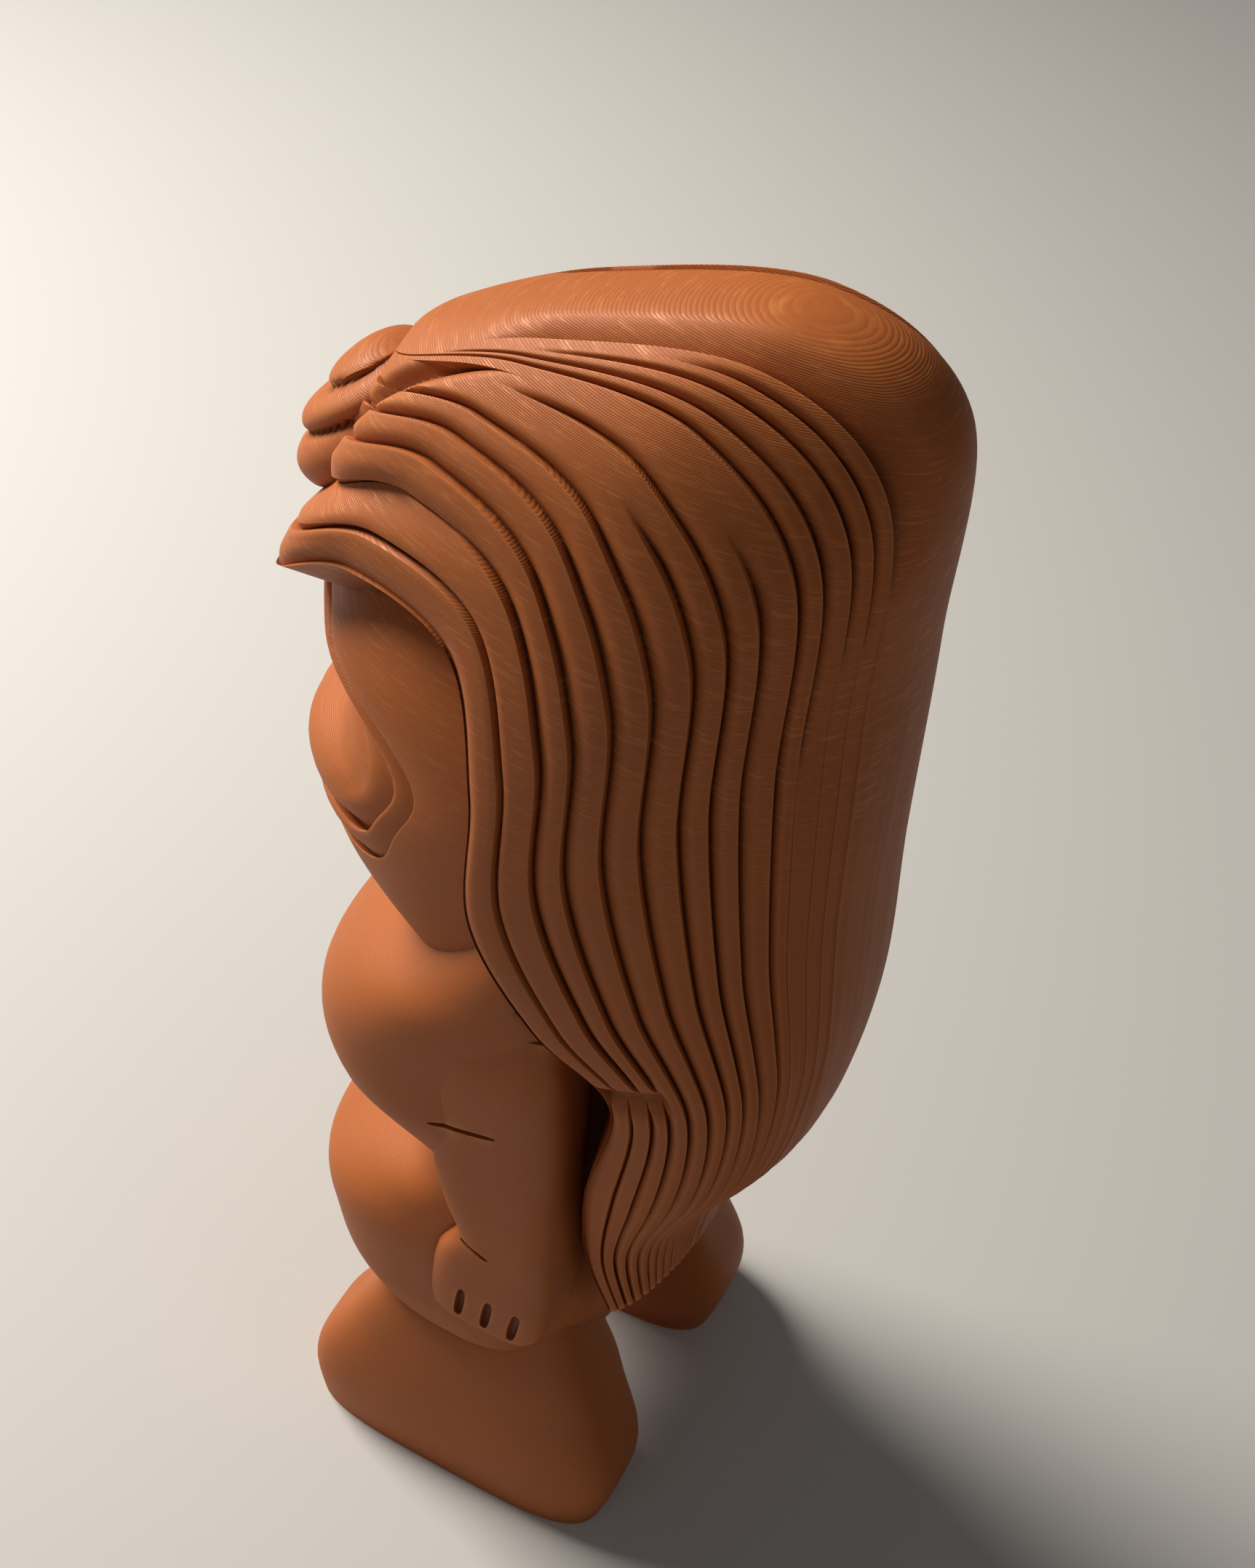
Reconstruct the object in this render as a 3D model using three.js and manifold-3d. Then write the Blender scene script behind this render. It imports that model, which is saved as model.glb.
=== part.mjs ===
import * as THREE from 'three';
import { mergeVertices } from 'three/addons/utils/BufferGeometryUtils.js';
import Module from 'manifold-3d';

const wasm = await Module();
wasm.setup();

// Tiki figure, millimetres, +Z up. It faces -Y, its left side is +X, and the soles stand on Z = 0.

// Combed mane, laid over ribs that run from the face edge to the middle line of the crown and back.
// Each rib: edge y, edge z, middle line y, middle line z, half width.
const maneRibs = [
  [-43.5, 152.5, -30, 187, 0],
  [-39.5, 158, -26, 190.5, 14.5],
  [-27, 166, -9, 199.5, 19],
  [-11, 165, 16, 207, 24],
  [-5, 149, 33, 199, 28],
  [-3, 130, 36.2, 170, 29.5],
  [7, 116, 38.3, 140, 29.5],
  [18, 106, 40.6, 112, 27.5],
  [16, 84, 38.4, 88, 26],
  [16.5, 64, 29.8, 70, 22.5],
  [20, 47, 27.6, 55, 18.5],
];
const lockCount = 13;
const lockColumns = 3;
const crownColumns = 3;
// Turn of each groove round its rib in degrees, from the face edge (0) by way of the crack to the middle line,
// and how much higher the grooves start over the brow, where they fan out.
const lockTurns = [0, 6, 12, 17, 23, 29, 35, 40, 45, 51, 55, 60, 64, 68, 90];
const fanLift = [0, 2, 11, 18, 22, 24, 23, 21, 18.5, 14, 11, 7, 3.6, 0.4, 0];
const fanReach = [0.08, 0.34];
// Over the brow the ribs are fuller than round, and below the break the locks spread.
const ribFullness = 0.2;
const fullnessReach = [0.15, 0.4];
const tailSpread = 0.8;
const tailReach = [0.66, 0.8];
const maneRows = 25;
const grooveDepth = 1.1;
const grooveAbove = 0.6;
const grooveBelow = 0.35;
const crackDepth = 2;
const grooveSharpness = 1.4;
const normalStep = { along: 0.02, across: 0.2 };
const rimColumns = 3;
const rimRoll = 3;
const coreY = 10;
const coreLow = 70;
const coreHigh = 150;
// How far along its length each groove opens, counted from the face edge to the crown crack.
const grooveStarts = [0, 0, 0, 0.02, 0.02, 0.02, 0.3, 0.2, 0.35, 0, 0.14, 0.2, 0.26, 0.16];
const grooveEnds = [1, 1, 1, 1, 1, 1, 1, 1, 1, 0.9, 0.46, 0.42, 0.42, 0.4];
const grooveFade = 0.05;
const breakAt = 0.685;
const breakDepth = 1.6;
const breakWidth = 0.012;
const breakLocks = 3.4;
const foreheadHollow = 2.2;
const foreheadLength = 0.3;
const hairline = 2;
const edgeRoll = { locks: 0.4, depth: 0.9 };

// Crest over the forehead: a tilted cap with three rolls, parted by seams that rise towards the back.
const crest = { centre: [0, -32, 172.2], half: [9.6, 8.8, 12], round: 2.4, tilt: -27, seamSlope: 40 };
const crestSeams = [150.6, 157.1, 160.6, 163.8];
const crestRollRise = 1.1;
const crestSegments = [18, 20];

// Face: a rounded block whose front follows a profile from the chin up to the brow.
const faceCentre = [0, -4, 133];
const faceHalf = [26.5, 30, 38];
const faceRound = 2.2;
const faceProfile = [20, 17.5, 8, -0.7, -2.5, 3.4, -9.5, -10.5, -11];
const faceSegments = 28;
// The face's rings lie round the mouth, closest together at the lip lines, in degrees from its middle.
// Sideways a ring reaches further than up and down, so the mouth wraps round the face.
const mouthRise = 10;
const mouthRings = [0, 5, 10, 12.5, 14, 15.5, 18.5, 20.3, 22, 27, 36, 48, 62, 80, 100, 125, 150, 180];
const mouthReach = [[0, 0], [12.5, 60], [15, 63.5], [20.5, 68], [180, 180]];
const mouthRound = 3.6;
const lipLines = [14, 20.3];
const lipLineWidth = 1.8;
const lipLineDepth = 1.3;
const teethEdge = [11, 13.5];
const teethRise = 2.2;
// The mouth gapes over the teeth, counted in degrees above its middle.
const gape = { from: 1, to: 5, depth: 4.2 };
const eye = { x: 11.5, z: 154, width: 7, height: 6, depth: 3 };
const nose = { centre: [0, -28.5, 147.5], half: [6.5, 7.5, 8], round: 2.2 };

// Sections from the bottom up: z, front y, back y, half width.
const yokeSections = [
  [62, -6, 9, 22],
  [70, -8, 12, 26],
  [78, -17.5, 12.5, 28.4],
  [87, -29, 12.5, 30],
  [96, -31.8, 12.5, 30],
  [105, -26, 14, 30],
  [113, -16.5, 16, 29.5],
  [123, -8, 15, 28],
  [131, -4, 12, 24],
];
const yokeTuck = 9;
const yokeTuckTop = 87;
const yokeWidest = 30;
const yokeTuckBend = 3;
const bellySections = [
  [28, -13, 13, 18],
  [32, -21, 18, 25],
  [40, -27.5, 19, 28],
  [48, -30.5, 19, 28.5],
  [56, -31, 16, 28.5],
  [63, -23.5, 13, 27],
  [70, -13.5, 12, 25.5],
  [80, -13, 12, 26],
  [92, -11, 11, 24],
];
const armSections = [
  [42, -3, 11, 5, 22.5],
  [46, -4.8, 13.5, 6.6, 23],
  [53, -5.2, 14.5, 7, 23],
  [60, -4.2, 14.5, 7, 23],
  [65.5, -1.4, 14, 7, 23],
  [72, -4, 13.5, 7, 23],
  [80, -6.2, 13, 7, 23],
  [91, -7, 12.5, 7, 23],
  [103, -8, 11.5, 7, 23],
  [113, -8, 10, 6, 22.5],
];
// Leg sections also give the leg's middle line in x.
const legSections = [
  [0, -24.5, 26.6, 10.1, 20],
  [8, -25.8, 28, 10.6, 20],
  [15, -24.5, 27.2, 10.1, 19.8],
  [23, -20.5, 24, 9.2, 19],
  [31, -17, 20.5, 8.4, 18],
  [42, -12, 14, 6, 16.5],
];
const bodySegments = [24, 12];
const limbSegments = { arm: [16, 10], leg: [24, 8] };
const noseSegments = [12, 8];
const weldDistance = 1e-4;
const smallestAngle = 1e-3;
const roundBody = 2.6;
const roundSlab = 4.2;
const roundLeg = 4;

// Notches cut into each arm: y and z of both ends, and the width. The first two mark elbow and wrist.
const armNotches = [
  [-5.8, 89.1, 4.2, 92.6, 1.2],
  [0, 65.6, 5, 64.2, 1.2],
  [1, 46.5, 1.6, 54, 1.5],
  [5.3, 46.5, 6, 54, 1.5],
  [9.6, 46.5, 10.4, 54, 1.5],
];
const notchFace = 30;
const notchDeepen = 1.8;

// Catmull-Rom value through a list of stations, t from 0 to 1
function along(values, t) {
  const spans = values.length - 1;
  const place = Math.min(Math.max(t, 0), 1) * spans;
  const i = Math.min(Math.floor(place), spans - 1);
  const f = place - i;
  const a = values[Math.max(i - 1, 0)];
  const b = values[i];
  const c = values[i + 1];
  const d = values[Math.min(i + 2, spans)];
  return b + 0.5 * f * (c - a + f * (2 * a - 5 * b + 4 * c - d + f * (3 * (b - c) + d - a)));
}
const ribColumn = (n) => maneRibs.map((rib) => rib[n]);
const [edgeY, edgeZ, midY, midZ, halfWidth] = [0, 1, 2, 3, 4].map(ribColumn);

const smooth = (a, b, t) => {
  const f = Math.min(Math.max((t - a) / (b - a), 0), 1);
  return f * f * (3 - 2 * f);
};

// Straight interpolation through a list of stations, t from 0 to 1
function straight(values, t) {
  const place = t * (values.length - 1);
  const i = Math.min(Math.floor(place), values.length - 2);
  return values[i] + (values[i + 1] - values[i]) * (place - i);
}

// Straight interpolation through pairs of place and value
function between(pairs, t) {
  const i = Math.max(pairs.findIndex(([place]) => t <= place), 1);
  const [[a, low], [b, high]] = [pairs[i - 1], pairs[i]];
  return low + ((high - low) * (t - a)) / (b - a);
}

// Turn of a lock around its rib, in radians: 0 at the face edge, a quarter turn on the middle line
function lockTurn(lock, v) {
  const spread = 1 - (1 - tailSpread) * smooth(...tailReach, v);
  const share = Math.max(lock / (lockCount + 1), 0) ** spread;
  const lift = straight(fanLift, share) * (1 - smooth(...fanReach, v));
  return THREE.MathUtils.degToRad(straight(lockTurns, share) + lift);
}

// A point of the mane: lock counts from the face edge (0) to the middle line, v runs from brow to hem
function manePoint(side, lock, v) {
  const turn = lockTurn(lock, v);
  const ey = along(edgeY, v);
  const ez = along(edgeZ, v);
  const power = 1 - ribFullness * (1 - smooth(...fullnessReach, v));
  const out = Math.sin(turn) ** power;
  return new THREE.Vector3(
    side * along(halfWidth, v) * Math.max(Math.cos(turn), 0) ** power,
    ey + (along(midY, v) - ey) * out,
    ez + (along(midZ, v) - ez) * out,
  );
}

function maneNormal(side, lock, v) {
  const v0 = Math.max(v - normalStep.along, 0);
  const v1 = Math.min(v + normalStep.along, 1);
  const l0 = Math.max(lock - normalStep.across, 0);
  const l1 = Math.min(lock + normalStep.across, lockCount + 1);
  const alongLock = manePoint(side, lock, v1).sub(manePoint(side, lock, v0));
  const acrossLocks = manePoint(side, l1, v).sub(manePoint(side, l0, v));
  return acrossLocks.cross(alongLock).multiplyScalar(-side).normalize();
}

// Depth of the comb grooves, zero on a lock's back
function maneRelief(lock, v) {
  const nearest = Math.min(Math.round(lock), lockCount);
  const away = Math.abs(lock - nearest) / (lock > nearest ? grooveAbove : grooveBelow);
  const [start, end] = [grooveStarts[nearest], grooveEnds[nearest]];
  const open = smooth(start, start + grooveFade, v) * (1 - smooth(end, end + grooveFade, v));
  const deep = nearest === lockCount ? crackDepth : grooveDepth;
  const groove = nearest === 0 ? 0 : deep * open * Math.max(0, 1 - away) ** grooveSharpness;
  const broken = lock < breakLocks ? breakDepth * Math.exp(-(((v - breakAt) / breakWidth) ** 2)) : 0;
  const band = lock < hairline ? smooth(1, hairline, lock) : 0;
  const hollow = foreheadHollow * band * (1 - smooth(foreheadLength / 2, foreheadLength, v));
  const roll = edgeRoll.depth * Math.max(0, 1 - lock / edgeRoll.locks) ** 2;
  return -Math.max(groove, broken, roll) - hollow;
}

function toManifold(geometry) {
  geometry.deleteAttribute('normal');
  geometry.deleteAttribute('uv');
  const merged = mergeVertices(geometry, weldDistance);
  const solid = new wasm.Mesh({
    numProp: 3,
    vertProperties: new Float32Array(merged.attributes.position.array),
    triVerts: new Uint32Array(merged.index.array),
  });
  return new wasm.Manifold(solid);
}

// Moves every vertex of a geometry by a function of its place
function reshape(geometry, move) {
  const place = geometry.attributes.position;
  const point = new THREE.Vector3();
  for (let i = 0; i < place.count; i += 1) {
    point.fromBufferAttribute(place, i);
    move(point);
    place.setXYZ(i, point.x, point.y, point.z);
  }
  return geometry;
}

function makeMane() {
  const perSide = lockCount * lockColumns + crownColumns + rimColumns;
  const rows = maneRows + rimColumns;
  const grid = new THREE.PlaneGeometry(2 * perSide, rows, 2 * perSide, rows);
  return toManifold(reshape(grid, (point) => {
    const column = -Math.round(point.x);
    const row = Math.round(rows / 2 - point.y);
    const side = column < 0 ? -1 : 1;
    const fromEdge = perSide - Math.abs(column) - rimColumns;
    const inLocks = Math.min(fromEdge / lockColumns, lockCount);
    const lock = inLocks + Math.max(fromEdge - lockCount * lockColumns, 0) / crownColumns;
    const v = row / maneRows;
    point.copy(manePoint(side, lock, v));
    if (lock >= 0 && v <= 1) point.addScaledVector(maneNormal(side, lock, v), maneRelief(lock, v));
    const rimStep = Math.max(-fromEdge, row - maneRows, 0);
    if (rimStep > 0) {
      const core = new THREE.Vector3(0, coreY, THREE.MathUtils.clamp(point.z, coreLow, coreHigh));
      if (v > 1) core.z = coreLow;
      const roll = rimStep === rimColumns ? 1 : (rimStep * rimRoll) / (rimColumns * core.distanceTo(point));
      point.lerp(core, Math.min(roll, 1));
    }
    if (row === 0 || column === 0) point.x = 0;
  }));
}

// Moves a direction onto a rounded block: roundness 2 is a true ellipsoid, higher is closer to a box
function toBlock(point, half, round) {
  point.normalize();
  const size = [point.x, point.y, point.z].reduce((sum, n) => sum + Math.abs(n) ** round, 0) ** (1 / round);
  return point.divideScalar(size).multiply(new THREE.Vector3(...half));
}

function softBlock(half, round, segments, rings) {
  return reshape(new THREE.SphereGeometry(1, segments, rings), (point) => toBlock(point, half, round));
}

function placed(geometry, centre) {
  return toManifold(geometry.translate(...centre));
}

// A closed loft through superellipse sections, standing on its first section
function loft(sections, round, segments, side = 0, shape = () => {}) {
  const tube = new THREE.CylinderGeometry(1, 1, 1, ...segments).rotateX(Math.PI / 2);
  const stations = sections[0].map((_, n) => sections.map((section) => section[n]));
  return toManifold(reshape(tube, (point) => {
    const up = point.z + 0.5;
    const [z, front, back, width, middle] = stations.map((values) => along(values, up));
    const size = (Math.abs(point.x) ** round + Math.abs(point.y) ** round) ** (1 / round);
    const square = size > 0 ? Math.hypot(point.x, point.y) / size : 0;
    point.x = (side && side * middle) + point.x * square * width;
    point.y = (front + back) / 2 + (point.y * square * (back - front)) / 2;
    point.z = z;
    shape(point);
  }));
}

function makeCrest() {
  const { degToRad } = THREE.MathUtils;
  const slope = degToRad(crest.seamSlope);
  const cap = softBlock(crest.half, crest.round, ...crestSegments).rotateX(degToRad(crest.tilt));
  const centre = new THREE.Vector3(...crest.centre);
  return toManifold(reshape(cap, (point) => {
    const out = point.clone().setZ(0).normalize();
    point.add(centre);
    const up = point.z * Math.cos(slope) - point.y * Math.sin(slope);
    const roll = crestSeams.findIndex((seam) => up < seam);
    if (roll < 1) return;
    const [low, high] = [crestSeams[roll - 1], crestSeams[roll]];
    point.addScaledVector(out, crestRollRise * Math.sin((Math.PI * (up - low)) / (high - low)));
  }));
}

// The face's rings run round the mouth, so its lip lines and teeth follow them
function makeFace() {
  const { radToDeg, degToRad } = THREE.MathUtils;
  const rise = degToRad(mouthRise);
  const mouth = new THREE.Vector3(0, -Math.cos(rise), Math.sin(rise));
  const ball = new THREE.SphereGeometry(1, faceSegments, mouthRings.length - 1).rotateX(-rise);
  return placed(reshape(ball, (point) => {
    const ring = along(mouthRings, point.angleTo(mouth) / Math.PI);
    const p = point.addScaledVector(mouth, -point.dot(mouth)).normalize();
    const upright = Math.sqrt(Math.max(1 - p.x ** 2, 0)) / Math.max(ring, smallestAngle);
    const above = (ring * p.z) / Math.cos(rise);
    const level = Math.abs(p.x) / Math.max(between(mouthReach, ring), smallestAngle);
    const angle = degToRad((upright ** mouthRound + level ** mouthRound) ** (-1 / mouthRound));
    p.multiplyScalar(Math.sin(angle)).addScaledVector(mouth, Math.cos(angle));
    const front = Math.max(-p.y, 0);
    toBlock(p, faceHalf, faceRound);
    p.y += front * (along(faceProfile, (p.z / faceHalf[2] + 1) / 2) + eyeHollow(p));
    p.addScaledVector(mouth, faceRelief(ring, above));
  }), faceCentre);
}

function eyeHollow(p) {
  const across = (Math.abs(p.x) - eye.x) / eye.width;
  const up = (p.z + faceCentre[2] - eye.z) / eye.height;
  return eye.depth * Math.exp(-(across ** 2) - up ** 2);
}

// Two lip lines round the mouth, and inside them a raised block of teeth with the open mouth over it
function faceRelief(ring, above) {
  const line = (at) => lipLineDepth * Math.max(0, 1 - Math.abs(ring - at) / lipLineWidth);
  const inside = 1 - smooth(...teethEdge, ring);
  const height = teethRise - gape.depth * smooth(gape.from, gape.to, above);
  return inside * height - Math.max(...lipLines.map(line));
}

function makeYoke() {
  return loft(yokeSections, roundBody, bodySegments, 0, (point) => {
    const low = Math.max(yokeTuckTop - point.z, 0) / (yokeTuckTop - yokeSections[0][0]);
    point.z += yokeTuck * low * Math.abs(point.x / yokeWidest) ** yokeTuckBend;
  });
}

// A V notch from one end to the other on the arm's outer face
function makeNotch(side, [y0, z0, y1, z1, width]) {
  const length = Math.hypot(y1 - y0, z1 - z0);
  const bar = new THREE.BoxGeometry(width, length, width).rotateY(Math.PI / 4).scale(notchDeepen, 1, 1);
  bar.rotateX(Math.atan2(z1 - z0, y1 - y0));
  return placed(bar, [side * notchFace, (y0 + y1) / 2, (z0 + z1) / 2]);
}

const pieces = [
  makeMane(),
  makeCrest(),
  makeFace(),
  placed(softBlock(nose.half, nose.round, ...noseSegments), nose.centre),
  makeYoke(),
  loft(bellySections, roundBody, bodySegments),
];
const sides = [-1, 1];
sides.forEach((side) => {
  pieces.push(loft(armSections, roundSlab, limbSegments.arm, side));
  pieces.push(loft(legSections, roundLeg, limbSegments.leg, side));
});
const notches = sides.flatMap((side) => armNotches.map((notch) => makeNotch(side, notch)));
const joined = pieces.reduce((sum, piece) => sum.add(piece));
const whole = notches.reduce((cut, notch) => cut.subtract(notch), joined);

function toGeometry(solid) {
  const mesh = solid.getMesh();
  const geometry = new THREE.BufferGeometry();
  geometry.setAttribute('position', new THREE.BufferAttribute(new Float32Array(mesh.vertProperties), 3));
  geometry.setIndex(new THREE.BufferAttribute(new Uint32Array(mesh.triVerts), 1));
  return geometry;
}

const copperPlastic = new THREE.MeshStandardMaterial({ color: 0xb5653c, roughness: 0.45, metalness: 0.1 });
const statue = new THREE.Mesh(toGeometry(whole), copperPlastic);
statue.name = 'tiki_statue';

// The figure stands with the middle of its outer box over the origin
const outerBox = new THREE.Box3().setFromObject(statue);
statue.position.y = -(outerBox.min.y + outerBox.max.y) / 2;

const figure = new THREE.Group();
figure.add(statue);
export default figure;
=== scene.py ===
"""A small printed tiki figure with a combed mane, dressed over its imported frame.

Lengths below are in millimetres until a piece is finished, and in metres after that.
"""

import functools
import math

import bmesh
import bpy
from bpy.props import FloatProperty, FloatVectorProperty, IntProperty, PointerProperty
from mathutils import Matrix, Vector


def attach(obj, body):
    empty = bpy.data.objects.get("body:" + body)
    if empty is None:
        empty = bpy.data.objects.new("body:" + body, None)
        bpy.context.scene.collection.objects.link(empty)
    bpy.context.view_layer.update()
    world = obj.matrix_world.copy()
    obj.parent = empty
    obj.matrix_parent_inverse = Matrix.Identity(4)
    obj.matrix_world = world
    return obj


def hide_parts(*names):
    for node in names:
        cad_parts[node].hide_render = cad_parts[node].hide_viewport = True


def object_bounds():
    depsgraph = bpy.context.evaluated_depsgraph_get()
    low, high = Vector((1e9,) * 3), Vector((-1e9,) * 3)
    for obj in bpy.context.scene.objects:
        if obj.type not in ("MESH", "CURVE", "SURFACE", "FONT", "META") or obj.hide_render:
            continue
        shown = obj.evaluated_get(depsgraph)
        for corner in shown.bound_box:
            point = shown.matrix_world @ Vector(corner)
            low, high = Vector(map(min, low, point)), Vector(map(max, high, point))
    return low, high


bl_info = {
    "name": "Tiki Figure",
    "version": (1, 0, 0),
    "blender": (4, 5, 0),
    "location": "View3D > Sidebar > Tiki",
    "description": "Carves a printed tiki figure and its studio stage",
    "category": "Add Mesh",
}

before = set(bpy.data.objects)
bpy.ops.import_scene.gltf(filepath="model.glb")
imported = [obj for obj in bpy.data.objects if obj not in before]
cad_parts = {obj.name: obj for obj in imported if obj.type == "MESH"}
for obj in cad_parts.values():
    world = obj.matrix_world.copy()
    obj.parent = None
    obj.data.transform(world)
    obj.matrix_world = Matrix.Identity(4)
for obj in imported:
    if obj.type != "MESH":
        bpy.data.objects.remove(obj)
cad_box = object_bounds()
MM = 0.001
WELD = 1e-4
SMALLEST_ANGLE = 1e-3

# Mane ribs: edge y, edge z, middle line y, middle line z, half width
MANE_RIBS = (
    (-43.5, 152.5, -30, 187, 0),
    (-39.5, 158, -26, 190.5, 14.5),
    (-27, 166, -9, 199.5, 19),
    (-11, 165, 16, 207, 24),
    (-5, 149, 33, 199, 28),
    (-3, 130, 36.2, 170, 29.5),
    (7, 116, 38.3, 140, 29.5),
    (18, 106, 40.6, 112, 27.5),
    (16, 84, 38.4, 88, 26),
    (16.5, 64, 29.8, 70, 22.5),
    (20, 47, 27.6, 55, 18.5),
)
LOCKS = 13
# Where the mesh columns of one lock stand, closest together beside its grooves
LOCK_STATIONS = (0, 0.09, 0.19, 0.3, 0.42, 0.55, 0.68, 0.8, 0.89, 0.935, 0.965)
CROWN_COLUMNS = 14
# Turn of each groove round its rib in degrees, from the face edge by way of the crack to the middle
# line, and how much higher the grooves start over the brow, where they fan out
LOCK_TURNS = (0, 6, 12, 17, 23, 29, 35, 40, 45, 51, 55, 60, 64, 68, 90)
FAN_LIFT = (0, 2, 11, 18, 22, 24, 23, 21, 18.5, 14, 11, 7, 3.6, 0.4, 0)
FAN_REACH = (0.08, 0.34)
CRACK_DEPTH = 2.4
# Over the brow the ribs are fuller than round, and below the break the locks spread
RIB_FULLNESS = 0.2
FULLNESS_REACH = (0.15, 0.4)
TAIL_SPREAD = 0.8
TAIL_REACH = (0.66, 0.8)
# Steps over which the mane's slope is measured
NORMAL_STEP_ALONG = 0.02
NORMAL_STEP_ACROSS = 0.2
# A groove falls off steeply on its lower lock and slopes gently up its upper lock
GROOVE_ABOVE = 0.5
GROOVE_BELOW = 0.07
BROW_LINE = 0.14
GROOVE_SHARPNESS = 1.5
# How far along its length each groove opens and closes, from the face edge to the crown crack
GROOVE_STARTS = (0, 0, 0, 0.02, 0.02, 0.02, 0.3, 0.2, 0.35, 0, 0.14, 0.2, 0.26, 0.16)
GROOVE_ENDS = (1, 1, 1, 1, 1, 1, 1, 1, 1, 0.9, 0.46, 0.42, 0.42, 0.4)
GROOVE_FADE = 0.05
# The break in the locks at the hips
BREAK_AT = 0.685
BREAK_DEPTH = 1.6
BREAK_WIDTH = 0.012
BREAK_LOCKS = 3.4
# The hollow band of forehead between the edge roll and the locks
FOREHEAD_HOLLOW = 2.2
HAIRLINE = 2
FOREHEAD_LENGTH = 0.3
EDGE_ROLL_LOCKS = 0.4
EDGE_ROLL_DEPTH = 0.9
# Fine lines towards the back, and where they set in across and along the locks
FINE_LINES = 4
FINE_DEPTH = 0.16
FINE_LOCKS = (6, 11)
FINE_REACH = (0.35, 0.6)
# The mane's rim rolls inwards in this many steps, then closes on a core line inside the head
RIM_COLUMNS = 6
RIM_ROLL = 3
CORE_Y = 10
CORE_LOW = 70
CORE_HIGH = 150

# Crest over the forehead: a tilted cap with three rolls, parted by seams that rise towards the back
CREST = {"centre": (0, -32, 172.2), "half": (9.6, 8.8, 12), "round": 2.4, "tilt": -27}
CREST_SEAM_SLOPE = 40
CREST_SEAMS = (150.6, 157.1, 160.6, 163.8)
CREST_ROLL_RISE = 1.1
CREST_GROOVE_DEPTH = 0.7
CREST_GROOVE_WIDTH = 0.35
# The notch that parts the crest from the side locks
CREST_NOTCH_X = 10.3
CREST_NOTCH_WIDTH = 0.9
CREST_NOTCH_DEPTH = 1.8
CREST_NOTCH_LOCKS = (2.1, 8)

# Face: a rounded block whose front follows a profile from the chin up to the brow
FACE_CENTRE = (0, -4, 133)
FACE_HALF = (26.5, 30, 38)
FACE_ROUND = 2.2
FACE_PROFILE = (20, 17.5, 8, -0.7, -2.5, 3.4, -9.5, -10.5, -11)
# The face's rings lie round the mouth, this many degrees above its middle
MOUTH_RISE = 10
MOUTH_RINGS = (0, 5, 10, 12.5, 14, 15.5, 18.5, 20.3, 22, 27, 36, 48, 62, 80, 100, 125, 150, 180)
# How far round the face a ring reaches sideways, in degrees, and how square its corners are
MOUTH_REACH = ((0, 0), (12.5, 60), (15, 63.5), (20.5, 68), (180, 180))
MOUTH_ROUND = 3.6
# Height of the mouth over the face by ring: teeth, inner line, lip roll, outer line, cheek
MOUTH_RELIEF = (
    (0, 2.4), (10.5, 2.2), (12.2, 1.7), (12.9, 0), (13.6, -2), (14.6, -2), (15.4, 0), (16.6, 0.8),
    (17.8, 0.9), (19, 0.3), (19.8, -1.2), (20.6, -1.9), (21.2, -1.3), (22, 0), (180, 0),
)
# The teeth: where their block ends, and the height and depth of one row
TEETH_EDGE = (11, 13.5)
TOOTH_ROW = 5
TOOTH_DEPTH = 1.3
# The mouth gapes over the teeth, counted in degrees above its middle
GAPE = (1, 5)
GAPE_DEPTH = 4.6

# The eye is a soft hollow and the nose a small rounded block, both under the brow
EYE = {"x": 11.5, "z": 154, "width": 7, "height": 6, "depth": 3}
NOSE = {"centre": (0, -28.5, 147.5), "half": (6.5, 7.5, 8), "round": 2.2}

# Sections from the bottom up: z, front y, back y, half width
YOKE_SECTIONS = (
    (62, -6, 9, 22),
    (70, -8, 12, 26),
    (78, -17.5, 12.5, 28.4),
    (87, -29, 12.5, 30),
    (96, -31.8, 12.5, 30),
    (105, -26, 14, 30),
    (113, -16.5, 16, 29.5),
    (123, -8, 15, 28),
    (131, -4, 12, 24),
)
# Below its fullest line the yoke is drawn up towards its sides
YOKE_TUCK = 9
YOKE_TUCK_TOP = 87
YOKE_WIDEST = 30
YOKE_TUCK_BEND = 3
BELLY_SECTIONS = (
    (28, -13, 13, 18),
    (32, -21, 18, 25),
    (40, -27.5, 19, 28),
    (48, -30.5, 19, 28.5),
    (56, -31, 16, 28.5),
    (63, -23.5, 13, 27),
    (70, -13.5, 12, 25.5),
    (80, -13, 12, 26),
    (92, -11, 11, 24),
)
# Arm and leg sections also give the limb's middle line in x
ARM_SECTIONS = (
    (42, -3, 11, 5, 22.5),
    (46, -4.8, 13.5, 6.6, 23),
    (53, -5.2, 14.5, 7, 23),
    (60, -4.2, 14.5, 7, 23),
    (65.5, -1.4, 14, 7, 23),
    (72, -4, 13.5, 7, 23),
    (80, -6.2, 13, 7, 23),
    (91, -7, 12.5, 7, 23),
    (103, -8, 11.5, 7, 23),
    (113, -8, 10, 6, 22.5),
)
LEG_SECTIONS = (
    (0, -24.5, 26.6, 10.1, 20),
    (8, -25.8, 28, 10.6, 20),
    (15, -24.5, 27.2, 10.1, 19.8),
    (23, -20.5, 24, 9.2, 19),
    (31, -17, 20.5, 8.4, 18),
    (42, -12, 14, 6, 16.5),
)
ROUND_BODY = 2.6
ROUND_SLAB = 4.2
ROUND_LEG = 4
# Arm notches: y and z of both ends, and the width
ARM_NOTCHES = (
    (-5.8, 89.1, 4.2, 92.6, 0.9),
    (0, 65.6, 5, 64.2, 1),
    (1, 46.5, 1.6, 54, 1.5),
    (5.3, 46.5, 6, 54, 1.5),
    (9.6, 46.5, 10.4, 54, 1.5),
)
NOTCH_FACE = 30
NOTCH_DEPTH = 1.4
NOTCH_ROUND = 2.8
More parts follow.
